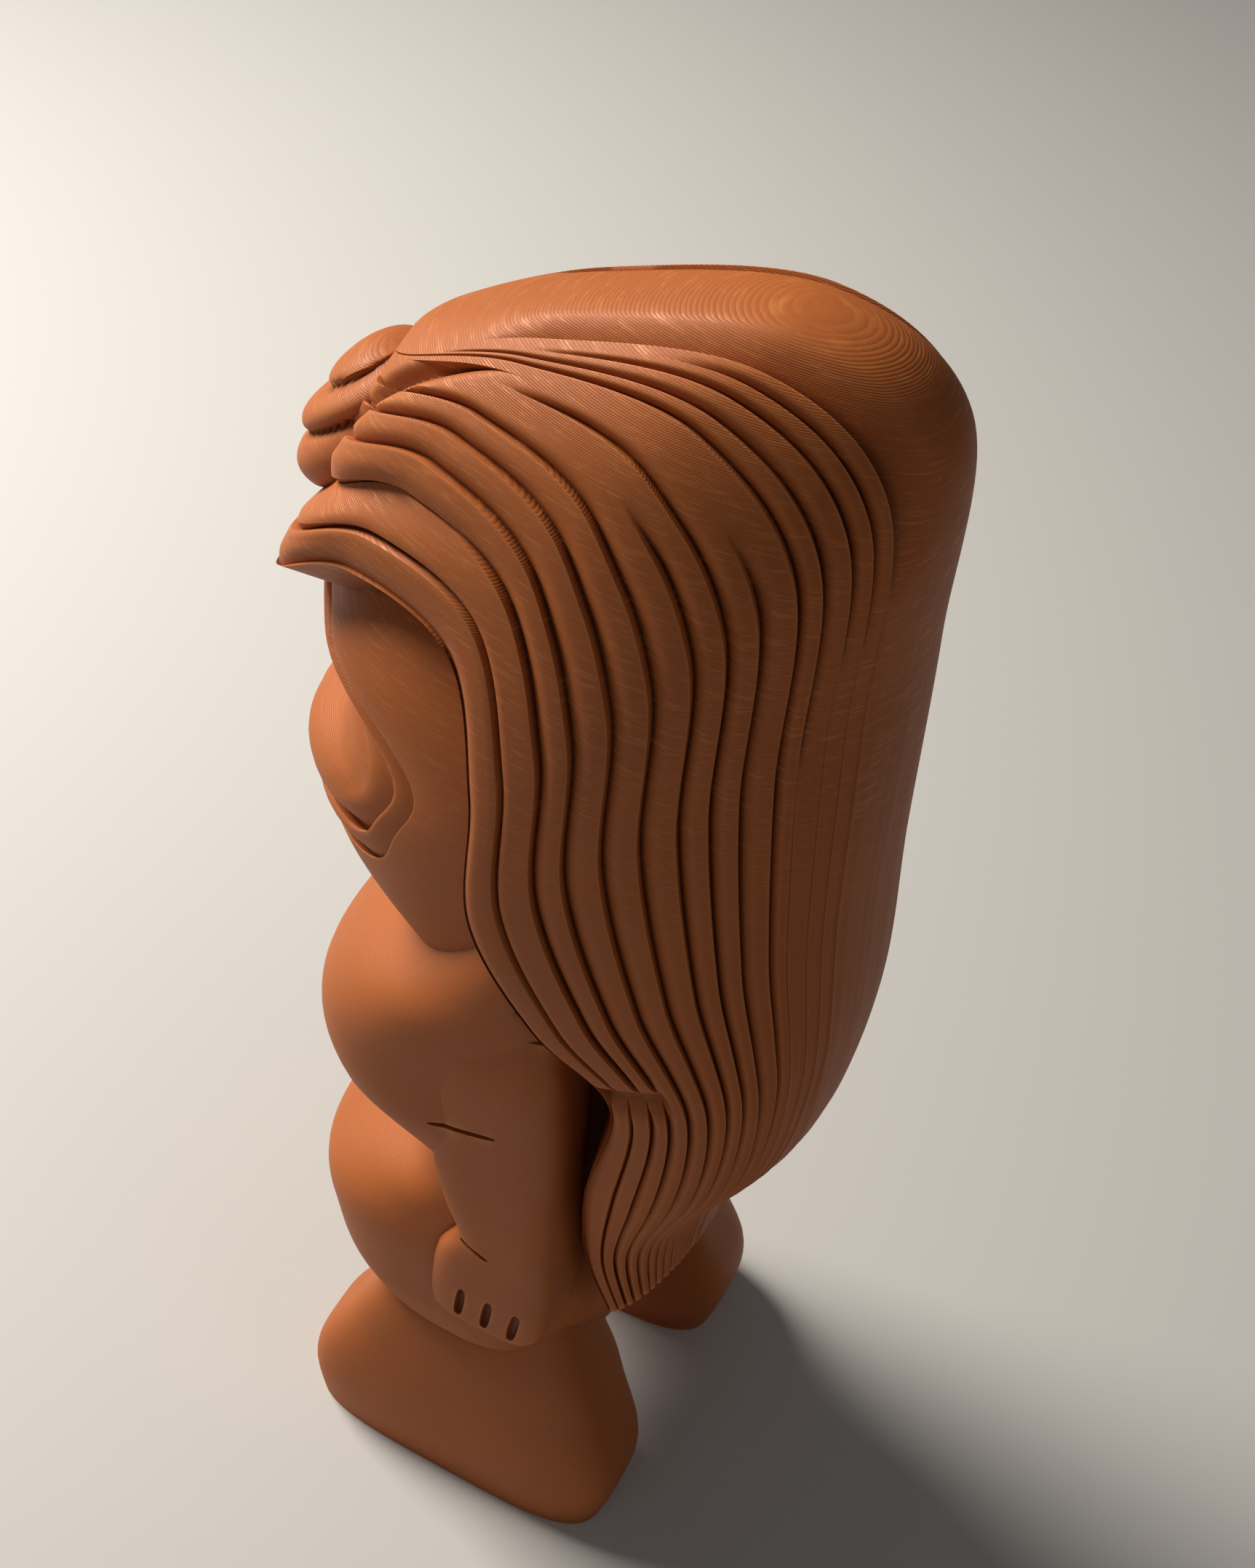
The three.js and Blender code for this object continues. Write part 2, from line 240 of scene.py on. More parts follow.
# Faces round and up in each piece's mesh
CREST_FACES = (96, 160)
FACE_FACES = (144, 120)
NOSE_FACES = (32, 24)
YOKE_FACES = (112, 56)
BELLY_FACES = (112, 48)
ARM_FACES = (72, 48)
LEG_FACES = (96, 40)
NOTCH_FACES = (20, 16)
# Edges sharper than this many degrees stay sharp, and the hollows' map is evened out this often
CREASE_ANGLE = 40
CAVITY_ROUNDS = 2

# The plastic: how hollow or proud the surface is where painted shade darkens it or a painted highlight
# brightens it, and by how much
HOLLOW_RANGE = (0.5, 0.34)
PROUD_RANGE = (0.53, 0.7)
GROOVE_SHADE = 0.75
EDGE_HIGHLIGHT = 0.55
CLOUD_TINTS = (0.8, 1.12)
# Level glints on the combed upper part, between these heights in metres
STREAK_HEIGHTS = (0.12, 0.17)
STREAK_RANGE = (0.5, 0.72)
STREAK_SHADE = 0.3
STREAK_STRETCH = (1, 1, 11)
STREAK_GLOSS = -0.12
SATIN_ROUGHNESS = 0.47
GRAIN_ROUGHNESS = 0.12
UNEVEN_HEIGHT = 0.4
GRAIN_HEIGHT = 0.5
BUMP_STRENGTH = 0.55
BUMP_DISTANCE = 0.00005

# The photograph's camera: place, look and lens, worked out in the figure's own millimetres
CAMERA_PLACE = (175.03, 70.72, 319.54)
CAMERA_AZIMUTH = 111.06
CAMERA_PITCH = 44.94
CAMERA_ROLL = 8.71
FLOOR_SIZE = 3
SKY = (0.95, 0.96, 1)
SKY_STRENGTH = 0.07
CHEST = (0, 0, 0.12)
# Lights, in metres: place, size, colour
KEY_LIGHT = ((-0.08, -0.56, 0.56), 0.35, (1, 0.95, 0.88))
FILL_LIGHT = ((0.6, -0.1, 0.4), 0.5, (1, 0.97, 0.95))
RIM_LIGHT = ((0.1, 0.5, 0.5), 0.25, (1, 0.98, 0.95))


class FigureSettings(bpy.types.PropertyGroup):
    """Sizes and colours of the printed figure."""

    mane_rows: IntProperty(
        name="Mane rows", description="Rows of faces from the brow to the hem", default=180, min=40
    )
    groove_depth: FloatProperty(
        name="Groove depth", description="Depth of the comb grooves", default=1.15 * MM, unit="LENGTH"
    )
    layer_height: FloatProperty(
        name="Layer height", description="Height of one printed layer", default=0.2 * MM, unit="LENGTH"
    )
    plastic: FloatVectorProperty(
        name="Plastic", description="Colour of the copper plastic", subtype="COLOR", size=3,
        default=(0.42, 0.115, 0.026),
    )
    # Painted shade: a darker copy of the plastic, laid into the grooves and hollows
    plastic_painted_shade: FloatVectorProperty(
        name="Painted shade", description="Colour down in the grooves", subtype="COLOR", size=3,
        default=(0.085, 0.017, 0.005),
    )
    # Painted highlight: a lighter copy of the plastic, laid on proud edges and the level glints
    plastic_painted_highlight: FloatVectorProperty(
        name="Painted highlight", description="Colour of rubbed edges and glints", subtype="COLOR", size=3,
        default=(0.7, 0.27, 0.085),
    )


class StageSettings(bpy.types.PropertyGroup):
    """Floor, lights and camera."""

    floor: FloatVectorProperty(
        name="Floor", description="Colour of the floor", subtype="COLOR", size=3, default=(0.6, 0.585, 0.56)
    )
    key_power: FloatProperty(
        name="Key light", description="Power of the large light in front", default=8.6, unit="POWER"
    )
    fill_power: FloatProperty(
        name="Fill light", description="Power of the light beside the camera", default=0.15, unit="POWER"
    )
    rim_power: FloatProperty(
        name="Rim light", description="Power of the light behind the head", default=0.2, unit="POWER"
    )
    lens: FloatProperty(name="Lens", description="Focal length", default=48.5, unit="CAMERA")


def along(values, t):
    """Catmull-Rom value through a list of stations, t from 0 to 1."""
    spans = len(values) - 1
    place = min(max(t, 0), 1) * spans
    i = min(int(place), spans - 1)
    f = place - i
    a, b, c, d = values[max(i - 1, 0)], values[i], values[i + 1], values[min(i + 2, spans)]
    return b + 0.5 * f * (c - a + f * (2 * a - 5 * b + 4 * c - d + f * (3 * (b - c) + d - a)))


def smooth(low, high, t):
    """A soft step from 0 at low to 1 at high."""
    f = min(max((t - low) / (high - low), 0), 1)
    return f * f * (3 - 2 * f)


def straight(values, t):
    """Straight interpolation through a list of stations, t from 0 to 1."""
    place = t * (len(values) - 1)
    i = min(int(place), len(values) - 2)
    return values[i] + (values[i + 1] - values[i]) * (place - i)


def between(pairs, t):
    """Straight interpolation through (place, value) pairs."""
    for (a, value_a), (b, value_b) in zip(pairs, pairs[1:]):
        if t <= b:
            return value_a + (value_b - value_a) * (t - a) / (b - a)
    return pairs[-1][1]


@functools.lru_cache(maxsize=None)
def rib(v):
    """Edge y and z, middle line y and z, and half width at v."""
    return tuple(along(column, v) for column in zip(*MANE_RIBS))


def lock_turn(lock, v):
    """Turn of a lock round its rib: 0 at the face edge, a quarter turn on the middle line."""
    spread = 1 - (1 - TAIL_SPREAD) * smooth(*TAIL_REACH, v)
    share = max(lock / (LOCKS + 1), 0) ** spread
    fanned = straight(FAN_LIFT, share) * (1 - smooth(*FAN_REACH, v))
    return math.radians(straight(LOCK_TURNS, share) + fanned)


def mane_point(side, lock, v):
    """A point of the smooth mane: lock counts from the face edge, v runs from brow to hem."""
    edge_y, edge_z, mid_y, mid_z, half_width = rib(v)
    turn = lock_turn(lock, v)
    power = 1 - RIB_FULLNESS * (1 - smooth(*FULLNESS_REACH, v))
    out = math.sin(turn) ** power
    x = side * half_width * max(math.cos(turn), 0) ** power
    return Vector((x, edge_y + (mid_y - edge_y) * out, edge_z + (mid_z - edge_z) * out))


def mane_normal(side, lock, v):
    """The way out of the mane's smooth form."""
    v0, v1 = max(v - NORMAL_STEP_ALONG, 0), min(v + NORMAL_STEP_ALONG, 1)
    l0, l1 = max(lock - NORMAL_STEP_ACROSS, 0), min(lock + NORMAL_STEP_ACROSS, LOCKS + 1)
    along_lock = mane_point(side, lock, v1) - mane_point(side, lock, v0)
    across_locks = mane_point(side, l1, v) - mane_point(side, l0, v)
    return (across_locks.cross(along_lock) * -side).normalized()


def groove(lock, v, depth):
    """Depth of the comb groove nearest to a place on the mane."""
    nearest = min(round(lock), LOCKS)
    away = lock - nearest
    reach = GROOVE_ABOVE if away >= 0 else GROOVE_BELOW
    if nearest == 0:
        return 0
    if nearest == LOCKS:
        depth = CRACK_DEPTH
    if nearest == 1:
        reach = BROW_LINE
    start, end = GROOVE_STARTS[nearest], GROOVE_ENDS[nearest]
    opened = smooth(start, start + GROOVE_FADE, v) * (1 - smooth(end, end + GROOVE_FADE, v))
    return depth * opened * max(0, 1 - abs(away) / reach) ** GROOVE_SHARPNESS


def mane_relief(lock, v, x, depth):
    """Height of the carving over the mane's smooth form, in millimetres."""
    roll = EDGE_ROLL_DEPTH * max(0, 1 - lock / EDGE_ROLL_LOCKS) ** 2
    cut = max(groove(lock, v, depth), roll)
    if lock < BREAK_LOCKS:
        cut = max(cut, BREAK_DEPTH * math.exp(-(((v - BREAK_AT) / BREAK_WIDTH) ** 2)))
    if CREST_NOTCH_LOCKS[0] < lock < CREST_NOTCH_LOCKS[1] and v < FOREHEAD_LENGTH:
        beside = (abs(x) - CREST_NOTCH_X) / CREST_NOTCH_WIDTH
        cut = max(cut, CREST_NOTCH_DEPTH * math.exp(-(beside ** 2)))
    band = smooth(1, HAIRLINE, lock) if lock < HAIRLINE else 0
    hollow = FOREHEAD_HOLLOW * band * (1 - smooth(FOREHEAD_LENGTH / 2, FOREHEAD_LENGTH, v))
    fine = FINE_DEPTH * smooth(*FINE_LOCKS, lock) * smooth(*FINE_REACH, v)
    fine *= math.sin(2 * math.pi * FINE_LINES * lock) ** 2
    return -cut - hollow - fine


def new_solid(name, bm):
    """A closed mesh object from a bmesh, with doubles merged and faces pointing out."""
    bmesh.ops.remove_doubles(bm, verts=bm.verts, dist=WELD)
    bmesh.ops.recalc_face_normals(bm, faces=bm.faces)
    mesh = bpy.data.meshes.new(name)
    bm.to_mesh(mesh)
    bm.free()
    solid = bpy.data.objects.new(name, mesh)
    bpy.context.collection.objects.link(solid)
    return solid


def mane_stations():
    """Lock coordinates of the mesh columns, from the middle line of the crown out to the face edge."""
    crown = [LOCKS + 1 - step / CROWN_COLUMNS for step in range(CROWN_COLUMNS)]
    combed = [lock + part for lock in range(LOCKS) for part in LOCK_STATIONS]
    return crown + [float(LOCKS)] + combed[::-1]


def make_mane(settings):
    """The mane as a folded grid: columns run from ear to ear over the crown, rows from brow to hem."""
    stations = mane_stations()
    half = len(stations) - 1 + RIM_COLUMNS
    rows = settings.mane_rows + RIM_COLUMNS
    depth = settings.groove_depth / MM
    bm = bmesh.new()
    bmesh.ops.create_grid(bm, x_segments=2 * half, y_segments=rows, size=1)
    for vert in bm.verts:
        column = round(vert.co.x * half)
        row = round((1 - vert.co.y) * rows / 2)
        side = -1 if column < 0 else 1
        past_edge = max(abs(column) - len(stations) + 1, 0)
        lock = stations[min(abs(column), len(stations) - 1)]
        v = min(row / settings.mane_rows, 1)
        point = mane_point(side, lock, v)
        if past_edge == 0 and row <= settings.mane_rows:
            point += mane_normal(side, lock, v) * mane_relief(lock, v, point.x, depth)
        rim = max(past_edge, row - settings.mane_rows)
        if rim > 0:
            core = Vector((0, CORE_Y, min(max(point.z, CORE_LOW), CORE_HIGH)))
            if row > settings.mane_rows:
                core.z = CORE_LOW
            roll = 1 if rim == RIM_COLUMNS else rim * RIM_ROLL / (RIM_COLUMNS * (core - point).length)
            point = point.lerp(core, min(roll, 1))
        if row == 0 or column == 0:
            point.x = 0
        vert.co = point
    return new_solid("mane", bm)


def make_crest():
    """The crest's cap, with rolls between its seams."""
    crest = soft_block("crest", CREST["centre"], CREST["half"], CREST["round"], CREST_FACES, CREST["tilt"])
    slope = math.radians(CREST_SEAM_SLOPE)
    for vert in crest.data.vertices:
        up = vert.co.z * math.cos(slope) - vert.co.y * math.sin(slope)
        seams = sum(math.exp(-(((up - seam) / CREST_GROOVE_WIDTH) ** 2)) for seam in CREST_SEAMS)
        height = -CREST_GROOVE_DEPTH * seams
        for low, high in zip(CREST_SEAMS, CREST_SEAMS[1:]):
            if low < up < high:
                height += CREST_ROLL_RISE * math.sin(math.pi * (up - low) / (high - low))
        out = vert.co - Vector(CREST["centre"])
        out.z = 0
        vert.co += out.normalized() * height
    return crest


def to_block(direction, half, roundness):
    """Moves a direction onto a rounded block: roundness 2 is an ellipsoid, higher is closer to a box."""
    direction.normalize()
    size = sum(abs(n) ** roundness for n in direction) ** (1 / roundness)
    return Vector((n * h / size for n, h in zip(direction, half)))


def soft_block(name, centre, half, roundness, faces, tilt=0):
    """A rounded block, turned about the x axis by tilt in degrees."""
    bm = bmesh.new()
    bmesh.ops.create_uvsphere(bm, u_segments=faces[0], v_segments=faces[1], radius=1)
    turn = Matrix.Rotation(math.radians(tilt), 3, "X")
    for vert in bm.verts:
        vert.co = turn @ to_block(vert.co, half, roundness) + Vector(centre)
    return new_solid(name, bm)


def loft(name, sections, roundness, faces, side=0, shape=None):
    """A closed loft through superellipse sections, standing on its first section."""
    bm = bmesh.new()
    bmesh.ops.create_cone(
        bm, cap_ends=True, cap_tris=False, segments=faces[0], radius1=1, radius2=1, depth=1
    )
    walls = [edge for edge in bm.edges if abs(edge.verts[0].co.z - edge.verts[1].co.z) > 0.5]
    bmesh.ops.subdivide_edges(bm, edges=walls, cuts=faces[1] - 1, use_grid_fill=True)
    columns = list(zip(*sections))
    for vert in bm.verts:
        z, front, back, width, *middle = (along(column, vert.co.z + 0.5) for column in columns)
        flat = Vector((vert.co.x, vert.co.y))
        size = (abs(flat.x) ** roundness + abs(flat.y) ** roundness) ** (1 / roundness)
        flat *= flat.length / size
        x = flat.x * width + (side * middle[0] if middle else 0)
        vert.co = Vector((x, (front + back) / 2 + flat.y * (back - front) / 2, z))
        if shape:
            shape(vert.co)
    return new_solid(name, bm)


def mouth_relief(ring, upward):
    """Height of the lips and teeth over the face, in millimetres."""
    height = between(MOUTH_RELIEF, ring)
    inside = 1 - smooth(*TEETH_EDGE, ring)
    rows = math.sin(math.pi * ring * upward / TOOTH_ROW) ** 2
    gape = smooth(*GAPE, ring * upward)
    return height - inside * (GAPE_DEPTH * gape + TOOTH_DEPTH * (1 - gape) * (1 - rows) ** 4)


def make_face():
    """The face's rings lie round the mouth, so its lips and teeth follow them."""
    rise = math.radians(MOUTH_RISE)
    mouth = Vector((0, -math.cos(rise), math.sin(rise)))
    above = Vector((0, math.sin(rise), math.cos(rise)))
    bm = bmesh.new()
    bmesh.ops.create_uvsphere(bm, u_segments=FACE_FACES[0], v_segments=FACE_FACES[1], radius=1)
    for vert in bm.verts:
        polar = math.acos(min(max(vert.co.z, -1), 1)) / math.pi
        spin = math.atan2(vert.co.y, vert.co.x)
        ring = along(MOUTH_RINGS, polar)
        sideways, upward = math.cos(spin), math.sin(spin)
        upright = abs(upward) / max(ring, SMALLEST_ANGLE)
        level = abs(sideways) / max(between(MOUTH_REACH, ring), SMALLEST_ANGLE)
        angle = math.radians((upright ** MOUTH_ROUND + level ** MOUTH_ROUND) ** (-1 / MOUTH_ROUND))
        point = mouth * math.cos(angle) + (Vector((sideways, 0, 0)) + above * upward) * math.sin(angle)
        front = max(-point.y, 0)
        point = to_block(point, FACE_HALF, FACE_ROUND)
        across = (abs(point.x) - EYE["x"]) / EYE["width"]
        up = (point.z + FACE_CENTRE[2] - EYE["z"]) / EYE["height"]
        eye = EYE["depth"] * math.exp(-(across ** 2) - up ** 2)
        point.y += front * (along(FACE_PROFILE, (point.z / FACE_HALF[2] + 1) / 2) + eye)
        vert.co = point + mouth * mouth_relief(ring, upward) + Vector(FACE_CENTRE)
    return new_solid("face", bm)


def tuck_yoke(point):
    """Draws the yoke's underside up towards its sides."""
    low = max(YOKE_TUCK_TOP - point.z, 0) / (YOKE_TUCK_TOP - YOKE_SECTIONS[0][0])
    point.z += YOKE_TUCK * low * abs(point.x / YOKE_WIDEST) ** YOKE_TUCK_BEND


def make_notch(side, y0, z0, y1, z1, width):
    """A rounded notch from one end to the other on the arm's outer face."""
    centre = (side * NOTCH_FACE, (y0 + y1) / 2, (z0 + z1) / 2)
    half = (NOTCH_DEPTH, width / 2, math.hypot(y1 - y0, z1 - z0) / 2)
    tilt = -math.degrees(math.atan2(y1 - y0, z1 - z0))
    return soft_block("notch", centre, half, NOTCH_ROUND, NOTCH_FACES, tilt)


def join_solids(base, others, operation):
    """Unites or cuts base with the other solids, which are used up."""
    for other in others:
        step = base.modifiers.new(other.name, "BOOLEAN")
        step.object = other
        step.operation = operation
        step.solver = "MANIFOLD"
    graph = bpy.context.evaluated_depsgraph_get()
    joined = bpy.data.meshes.new_from_object(base.evaluated_get(graph), depsgraph=graph)
    base.modifiers.clear()
    base.data = joined
    for other in others:
        bpy.data.objects.remove(other)
    if not joined.polygons:
        raise RuntimeError("joining left nothing of " + base.name)
    return base


def figure_slide():
    """How far the frame's figure was slid in y to stand over the origin, read off its back."""
    return cad_box[1].y - max(rib[2] for rib in MANE_RIBS) * MM


def mark_cavities(mesh):
    """Stores how hollow (below 0.5) or proud (above 0.5) each point of the surface is."""
    bm = bmesh.new()
    bm.from_mesh(mesh)
    bend = []
    for vert in bm.verts:
        around = [edge.other_vert(vert).co - vert.co for edge in vert.link_edges]
        bend.append(-sum(way.normalized().dot(vert.normal) for way in around) / max(len(around), 1))
    for _ in range(CAVITY_ROUNDS):
        bend = [
            (bend[vert.index] + sum(bend[edge.other_vert(vert).index] for edge in vert.link_edges))
            / (1 + len(vert.link_edges))
            for vert in bm.verts
        ]
    bm.free()
    cavity = mesh.attributes.new("cavity", "FLOAT", "POINT")
    cavity.data.foreach_set("value", [0.5 + value for value in bend])


def node(tree, kind, **values):
    """A new node whose inputs and settings are given by name."""
    made = tree.nodes.new(kind)
    for name, value in values.items():
        if name in made.inputs:
            made.inputs[name].default_value = value
        else:
            setattr(made, name, value)
    return made


def soft_range(tree, low, high, source):
    """A soft ramp from 0 where source is low to 1 where it is high."""
    ramp = node(tree, "ShaderNodeMapRange", interpolation_type="SMOOTHSTEP")
    ramp.inputs["From Min"].default_value = low
    ramp.inputs["From Max"].default_value = high
    tree.links.new(source, ramp.inputs["Value"])
    return ramp.outputs["Result"]


def maths(tree, operation, first, second=0.0, third=None):
    """A maths node on sockets or plain numbers."""
    made = tree.nodes.new("ShaderNodeMath")
    made.operation = operation
    values = (first, second) if third is None else (first, second, third)
    for socket, value in zip(made.inputs, values):
        if isinstance(value, bpy.types.NodeSocket):
            tree.links.new(value, socket)
        else:
            socket.default_value = value
    return made.outputs[0]


def new_group(name, inputs, outputs):
    """An empty node group with its sockets, and its input and output nodes."""
    tree = bpy.data.node_groups.new(name, "ShaderNodeTree")
    for label, kind, default in inputs:
        socket = tree.interface.new_socket(label, in_out="INPUT", socket_type=kind)
        if default is not None:
            socket.default_value = default
    for label, kind in outputs:
        tree.interface.new_socket(label, in_out="OUTPUT", socket_type=kind)
    return tree, tree.nodes.new("NodeGroupInput"), tree.nodes.new("NodeGroupOutput")


def layer_lines_group():
    """Printed layers: a rounded ridge for each layer height, a little uneven from layer to layer."""
    tree, given, result = new_group(
        "printed layers",
        (("Vector", "NodeSocketVector", None), ("Layer height", "NodeSocketFloat", 0.0002)),
        (("Height", "NodeSocketFloat"), ("Uneven", "NodeSocketFloat")),
    )
    split = tree.nodes.new("ShaderNodeSeparateXYZ")
    tree.links.new(given.outputs["Vector"], split.inputs[0])
    layers = maths(tree, "DIVIDE", split.outputs["Z"], given.outputs["Layer height"])
    part = maths(tree, "FRACT", layers)
    ridge = maths(tree, "SINE", maths(tree, "MULTIPLY", part, math.pi))
    number = maths(tree, "FLOOR", layers)
    random = tree.nodes.new("ShaderNodeTexWhiteNoise")
    random.noise_dimensions = "1D"
    tree.links.new(number, random.inputs["W"])
    tree.links.new(ridge, result.inputs["Height"])
    tree.links.new(random.outputs["Value"], result.inputs["Uneven"])
    return tree


def streaks_group():
    """Short level dashes where the printed lines catch the light."""
    tree, given, result = new_group(
        "level streaks",
        (("Vector", "NodeSocketVector", None), ("Length", "NodeSocketFloat", 260.0)),
        (("Streak", "NodeSocketFloat"), ("Grain", "NodeSocketFloat")),
    )
    stretch = tree.nodes.new("ShaderNodeVectorMath")
    stretch.operation = "MULTIPLY"
    stretch.inputs[1].default_value = STREAK_STRETCH
    tree.links.new(given.outputs["Vector"], stretch.inputs[0])
    dashes = node(tree, "ShaderNodeTexNoise", Detail=3.0, Roughness=0.6)
    tree.links.new(stretch.outputs[0], dashes.inputs["Vector"])
    tree.links.new(given.outputs["Length"], dashes.inputs["Scale"])
    grain = node(tree, "ShaderNodeTexNoise", Scale=2200.0, Detail=2.0)
    tree.links.new(given.outputs["Vector"], grain.inputs["Vector"])
    tree.links.new(soft_range(tree, *STREAK_RANGE, dashes.outputs["Fac"]), result.inputs["Streak"])
    tree.links.new(grain.outputs["Fac"], result.inputs["Grain"])
    return tree


def copper_plastic(settings):
    """Satin copper-brown plastic: layer lines, level glints, painted shade in the grooves and painted
    highlights on proud edges.
    """
    material = bpy.data.materials.new("copper plastic")
    material.use_nodes = True
    tree = material.node_tree
    links = tree.links
    shader = tree.nodes["Principled BSDF"]
    place = tree.nodes.new("ShaderNodeTexCoord").outputs["Object"]

    lines = tree.nodes.new("ShaderNodeGroup")
    lines.node_tree = layer_lines_group()
    lines.inputs["Layer height"].default_value = settings.layer_height
    streaks = tree.nodes.new("ShaderNodeGroup")
    streaks.node_tree = streaks_group()
    links.new(place, lines.inputs["Vector"])
    links.new(place, streaks.inputs["Vector"])

    cavity = tree.nodes.new("ShaderNodeAttribute")
    cavity.attribute_name = "cavity"
    hollow = soft_range(tree, *HOLLOW_RANGE, cavity.outputs["Fac"])
    proud = soft_range(tree, *PROUD_RANGE, cavity.outputs["Fac"])

    cloud = node(tree, "ShaderNodeTexNoise", Scale=38.0, Detail=3.0)
    links.new(place, cloud.inputs["Vector"])
    tint = node(tree, "ShaderNodeMix", data_type="RGBA")
    tint.inputs["A"].default_value = (*(CLOUD_TINTS[0] * n for n in settings.plastic), 1)
    tint.inputs["B"].default_value = (*(CLOUD_TINTS[1] * n for n in settings.plastic), 1)
    links.new(cloud.outputs["Fac"], tint.inputs["Factor"])
    # Painted shade: the hollows are mixed towards the painted shade colour
    dark = node(tree, "ShaderNodeMix", data_type="RGBA")
    dark.inputs["B"].default_value = (*settings.plastic_painted_shade, 1)
    links.new(maths(tree, "MULTIPLY", hollow, GROOVE_SHADE), dark.inputs["Factor"])
    links.new(tint.outputs["Result"], dark.inputs["A"])
    # Painted highlight: proud edges and the level glints are mixed towards the painted highlight colour
    bright = node(tree, "ShaderNodeMix", data_type="RGBA")
    bright.inputs["B"].default_value = (*settings.plastic_painted_highlight, 1)
    highlit = maths(tree, "MULTIPLY", proud, EDGE_HIGHLIGHT)
    height_up = tree.nodes.new("ShaderNodeSeparateXYZ")
    links.new(place, height_up.inputs[0])
    combed = soft_range(tree, *STREAK_HEIGHTS, height_up.outputs["Z"])
    dashes = maths(tree, "MULTIPLY", streaks.outputs["Streak"], combed)
    glint = maths(tree, "MULTIPLY", dashes, STREAK_SHADE)
    links.new(maths(tree, "MAXIMUM", highlit, glint), bright.inputs["Factor"])
    links.new(dark.outputs["Result"], bright.inputs["A"])
    links.new(bright.outputs["Result"], shader.inputs["Base Color"])

    satin = maths(tree, "MULTIPLY_ADD", dashes, STREAK_GLOSS, SATIN_ROUGHNESS)
    grainy = maths(tree, "MULTIPLY_ADD", streaks.outputs["Grain"], GRAIN_ROUGHNESS, satin)
    links.new(grainy, shader.inputs["Roughness"])
    height = maths(tree, "MULTIPLY_ADD", lines.outputs["Uneven"], UNEVEN_HEIGHT, lines.outputs["Height"])
    height = maths(tree, "MULTIPLY_ADD", streaks.outputs["Grain"], GRAIN_HEIGHT, height)
    bump = node(tree, "ShaderNodeBump", Strength=BUMP_STRENGTH, Distance=BUMP_DISTANCE)
    links.new(height, bump.inputs["Height"])
    links.new(bump.outputs["Normal"], shader.inputs["Normal"])
    shader.inputs["Metallic"].default_value = 0.05
    shader.inputs["Specular IOR Level"].default_value = 0.22
    return material


class TIKI_OT_figure(bpy.types.Operator):
    """Carve the figure as one closed solid and give it its plastic"""

    bl_idname = "tiki.figure"
    bl_label = "Carve Figure"

    def execute(self, context):
        settings = context.scene.tiki_figure
        statue = make_mane(settings)
        others = [make_face(), soft_block("nose", NOSE["centre"], NOSE["half"], NOSE["round"], NOSE_FACES)]
        others.append(make_crest())
        others.append(loft("yoke", YOKE_SECTIONS, ROUND_BODY, YOKE_FACES, shape=tuck_yoke))
        others.append(loft("belly", BELLY_SECTIONS, ROUND_BODY, BELLY_FACES))
        for side in (-1, 1):
            others.append(loft("arm", ARM_SECTIONS, ROUND_SLAB, ARM_FACES, side))
            others.append(loft("leg", LEG_SECTIONS, ROUND_LEG, LEG_FACES, side))
        join_solids(statue, others, "UNION")
        notches = [make_notch(side, *notch) for side in (-1, 1) for notch in ARM_NOTCHES]
        join_solids(statue, notches, "DIFFERENCE")

        statue.name = "statue"
        mesh = statue.data
        mesh.name = "statue"
        slide = figure_slide()
        mesh.transform(Matrix.Translation((0, slide, 0)) @ Matrix.Scale(MM, 4))
        mark_cavities(mesh)
        mesh.shade_smooth()
        mesh.set_sharp_from_angle(angle=math.radians(CREASE_ANGLE))
        mesh.materials.clear()
        mesh.materials.append(copper_plastic(settings))
        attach(statue, "root")
        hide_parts("tiki_statue")
        return {"FINISHED"}


def area_light(name, power, place, size, color):
    """A soft round light that looks at the figure's chest."""
    data = bpy.data.lights.new(name, "AREA")
    data.shape = "DISK"
    data.size = size
    data.energy = power
    data.color = color
    light = bpy.data.objects.new(name, data)
    light.location = place
    light.rotation_euler = (Vector(CHEST) - Vector(place)).to_track_quat("-Z", "Y").to_euler()
    bpy.context.collection.objects.link(light)


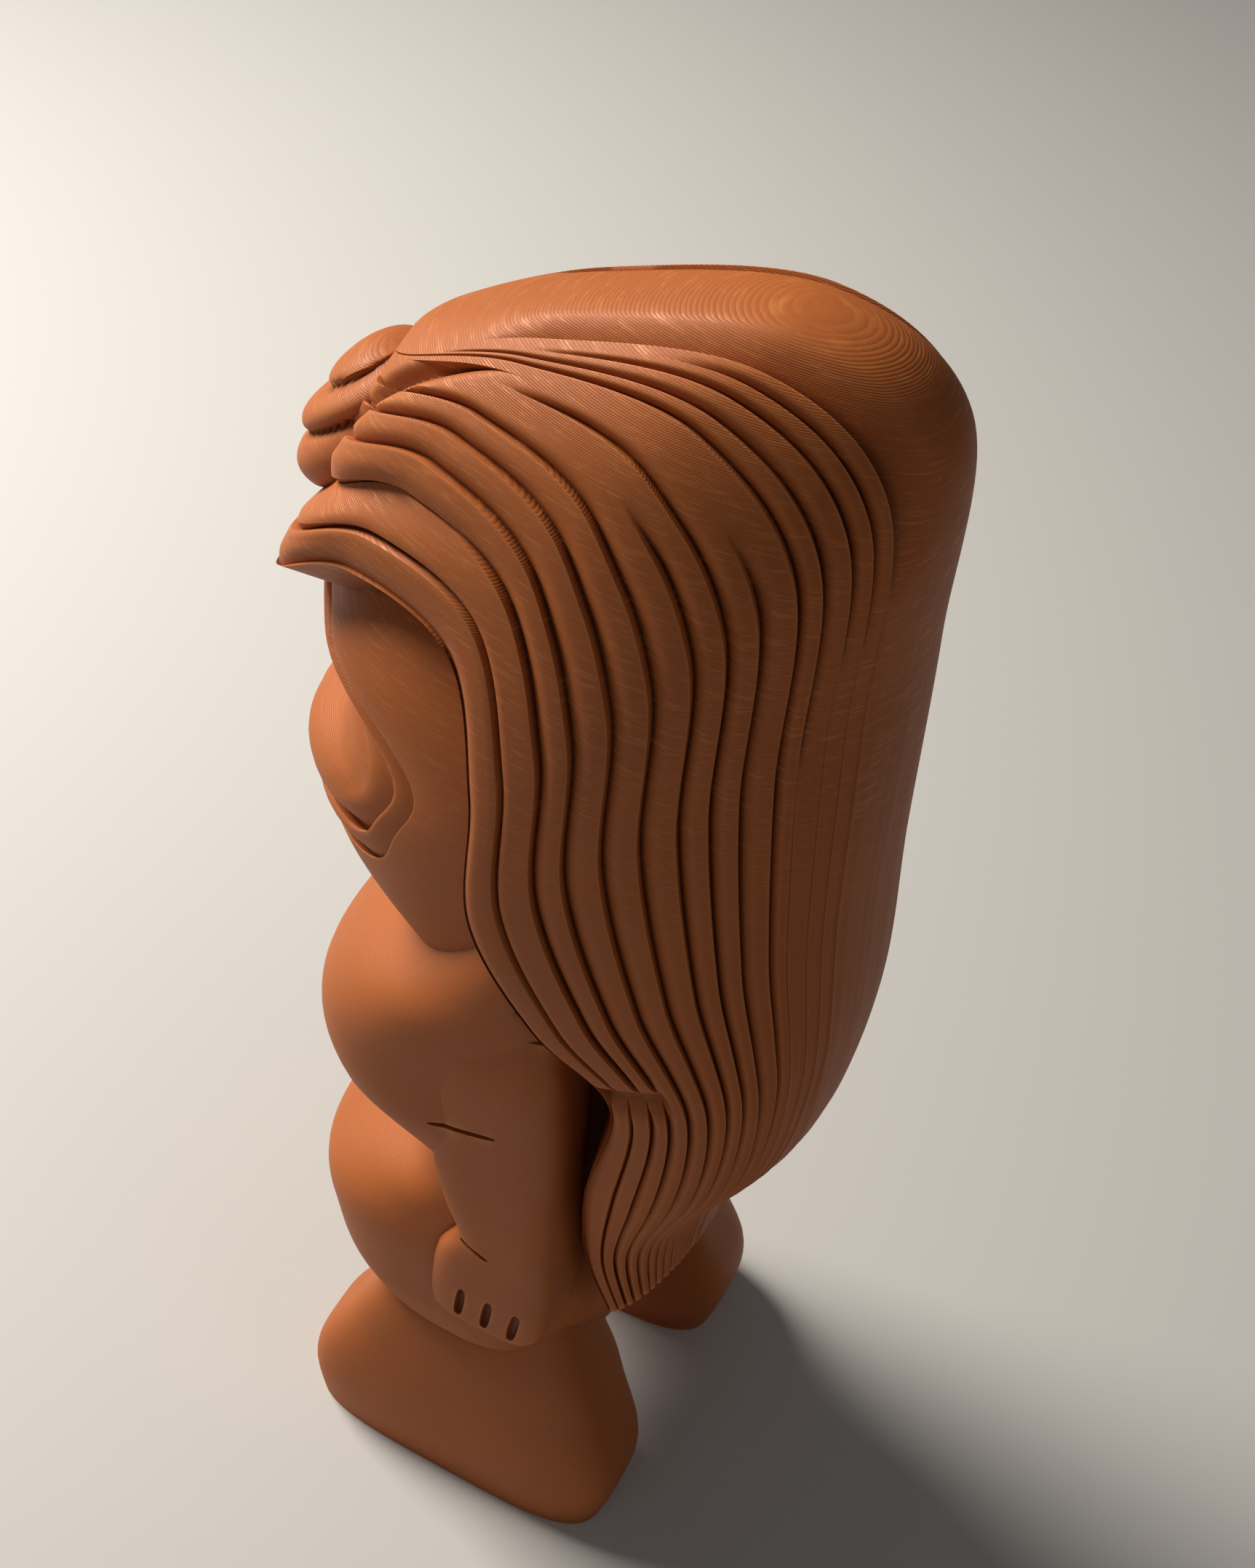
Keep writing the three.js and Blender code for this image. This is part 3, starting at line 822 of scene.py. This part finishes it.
class TIKI_OT_stage(bpy.types.Operator):
    """Lay the pale floor, hang the soft lights and set the photograph's camera"""

    bl_idname = "tiki.stage"
    bl_label = "Set Stage"

    def execute(self, context):
        settings = context.scene.tiki_stage
        slide = figure_slide()

        bm = bmesh.new()
        bmesh.ops.create_grid(bm, x_segments=1, y_segments=1, size=FLOOR_SIZE)
        floor = new_solid("floor", bm)
        paint = bpy.data.materials.new("pale floor")
        paint.use_nodes = True
        shader = paint.node_tree.nodes["Principled BSDF"]
        shader.inputs["Base Color"].default_value = (*settings.floor, 1)
        shader.inputs["Roughness"].default_value = 0.75
        floor.data.materials.append(paint)

        world = bpy.data.worlds.new("studio")
        world.use_nodes = True
        sky = world.node_tree.nodes["Background"]
        sky.inputs["Color"].default_value = (*SKY, 1)
        sky.inputs["Strength"].default_value = SKY_STRENGTH
        context.scene.world = world
        context.scene.view_settings.view_transform = "Standard"
        area_light("key", settings.key_power, *KEY_LIGHT)
        area_light("fill", settings.fill_power, *FILL_LIGHT)
        area_light("rim", settings.rim_power, *RIM_LIGHT)

        azimuth, pitch, roll = map(math.radians, (CAMERA_AZIMUTH, CAMERA_PITCH, CAMERA_ROLL))
        ahead = math.cos(pitch)
        look = Vector((-math.sin(azimuth) * ahead, math.cos(azimuth) * ahead, -math.sin(pitch)))
        level = look.cross(Vector((0, 0, 1))).normalized()
        upright = level.cross(look)
        right = level * math.cos(roll) + upright * math.sin(roll)
        up = upright * math.cos(roll) - level * math.sin(roll)
        lens = bpy.data.cameras.new("camera")
        lens.lens = settings.lens
        lens.clip_start = 0.01
        camera = bpy.data.objects.new("camera", lens)
        camera.matrix_world = Matrix((right, up, -look)).transposed().to_4x4()
        camera.location = Vector(CAMERA_PLACE) * MM + Vector((0, slide, 0))
        context.collection.objects.link(camera)
        context.scene.camera = camera
        return {"FINISHED"}


class TIKI_PT_panel(bpy.types.Panel):
    """Figure and stage settings with their operators"""

    bl_label = "Tiki Figure"
    bl_idname = "TIKI_PT_panel"
    bl_space_type = "VIEW_3D"
    bl_region_type = "UI"
    bl_category = "Tiki"

    def draw(self, context):
        groups = (
            (context.scene.tiki_figure, TIKI_OT_figure.bl_idname),
            (context.scene.tiki_stage, TIKI_OT_stage.bl_idname),
        )
        for settings, operator in groups:
            box = self.layout.box()
            for name in settings.__annotations__:
                box.prop(settings, name)
            box.operator(operator)


CLASSES = (FigureSettings, StageSettings, TIKI_OT_figure, TIKI_OT_stage, TIKI_PT_panel)


def register():
    for cls in CLASSES:
        bpy.utils.register_class(cls)
    bpy.types.Scene.tiki_figure = PointerProperty(type=FigureSettings)
    bpy.types.Scene.tiki_stage = PointerProperty(type=StageSettings)


def unregister():
    del bpy.types.Scene.tiki_figure
    del bpy.types.Scene.tiki_stage
    for cls in reversed(CLASSES):
        bpy.utils.unregister_class(cls)


def main():
    register()
    bpy.ops.tiki.stage()
    bpy.ops.tiki.figure()


if __name__ == "__main__":
    main()
